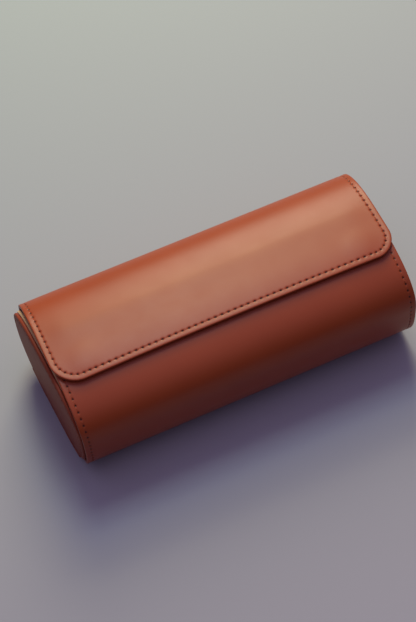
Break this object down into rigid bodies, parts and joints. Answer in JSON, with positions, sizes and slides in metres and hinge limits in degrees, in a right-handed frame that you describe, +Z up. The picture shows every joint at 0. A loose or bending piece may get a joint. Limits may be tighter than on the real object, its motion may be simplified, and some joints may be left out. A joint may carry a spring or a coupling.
{
  "type": "watch travel roll",
  "caption": "Oval leather watch travel roll: a stitched flap laps over the front and is held by hidden magnets, with end panels, dividers and lift-out cushions inside.",
  "frame": {"origin": "middle of the flat underside that the roll rests on", "axes": "+X along the roll to its right end, +Y to the back where the flap is hinged, +Z up; the flap's free edge is at the front, towards -Y"},
  "size_m": [0.1992, 0.092, 0.0674],
  "materials": {
    "leather": "smooth satin imitation leather, tan brown",
    "end_leather": "smooth satin imitation leather, tan brown",
    "suede": "tan microfibre suede",
    "cushion_suede": "tan microfibre suede, brushed",
    "board": "grey bookbinding board",
    "foam": "cut polyurethane foam",
    "magnet": "flexible magnet, dark grey"
  },
  "bodies": {
    "base": {"base_leather": "leather", "base_board": "board", "base_lining": "suede", "left_end_leather": "end_leather", "left_end_board": "board", "left_end_pad": "suede", "right_end_leather": "end_leather", "right_end_board": "board", "right_end_pad": "suede", "left_divider_cover": "suede", "left_divider_board": "board", "right_divider_cover": "suede", "right_divider_board": "board"},
    "flap": {"flap_leather": "leather", "flap_board": "board", "flap_lining": "suede", "flap_magnet_left": "magnet", "flap_magnet_right": "magnet"},
    "front_wing": {"front_leather": "leather", "front_board": "board", "front_lining": "suede", "front_magnet_left": "magnet", "front_magnet_right": "magnet"},
    "left_cushion": {"left_cushion_cover": "cushion_suede", "left_cushion_foam": "foam"},
    "middle_cushion": {"middle_cushion_cover": "cushion_suede", "middle_cushion_foam": "foam"},
    "right_cushion": {"right_cushion_cover": "cushion_suede", "right_cushion_foam": "foam"}
  },
  "joints": [
    {"name": "flap_fold", "type": "hinge", "parent": "base", "child": "flap", "pos_m": [0, 0.034, 0.00583], "axis": [-1, 0, 0], "range_deg": [0, 70]},
    {"name": "front_wing_fold", "type": "hinge", "parent": "base", "child": "front_wing", "pos_m": [0, -0.034, 0.00583], "axis": [1, 0, 0], "range_deg": [0, 49]},
    {"name": "left_cushion_lift", "type": "slide", "parent": "base", "child": "left_cushion", "axis": [0, 0, 1], "range_m": [0, 0.014]},
    {"name": "middle_cushion_lift", "type": "slide", "parent": "base", "child": "middle_cushion", "axis": [0, 0, 1], "range_m": [0, 0.014]},
    {"name": "right_cushion_lift", "type": "slide", "parent": "base", "child": "right_cushion", "axis": [0, 0, 1], "range_m": [0, 0.014]}
  ],
  "couplings": [
    {"joint": "front_wing_fold", "follows": "flap_fold", "ratio": 0.7}
  ]
}
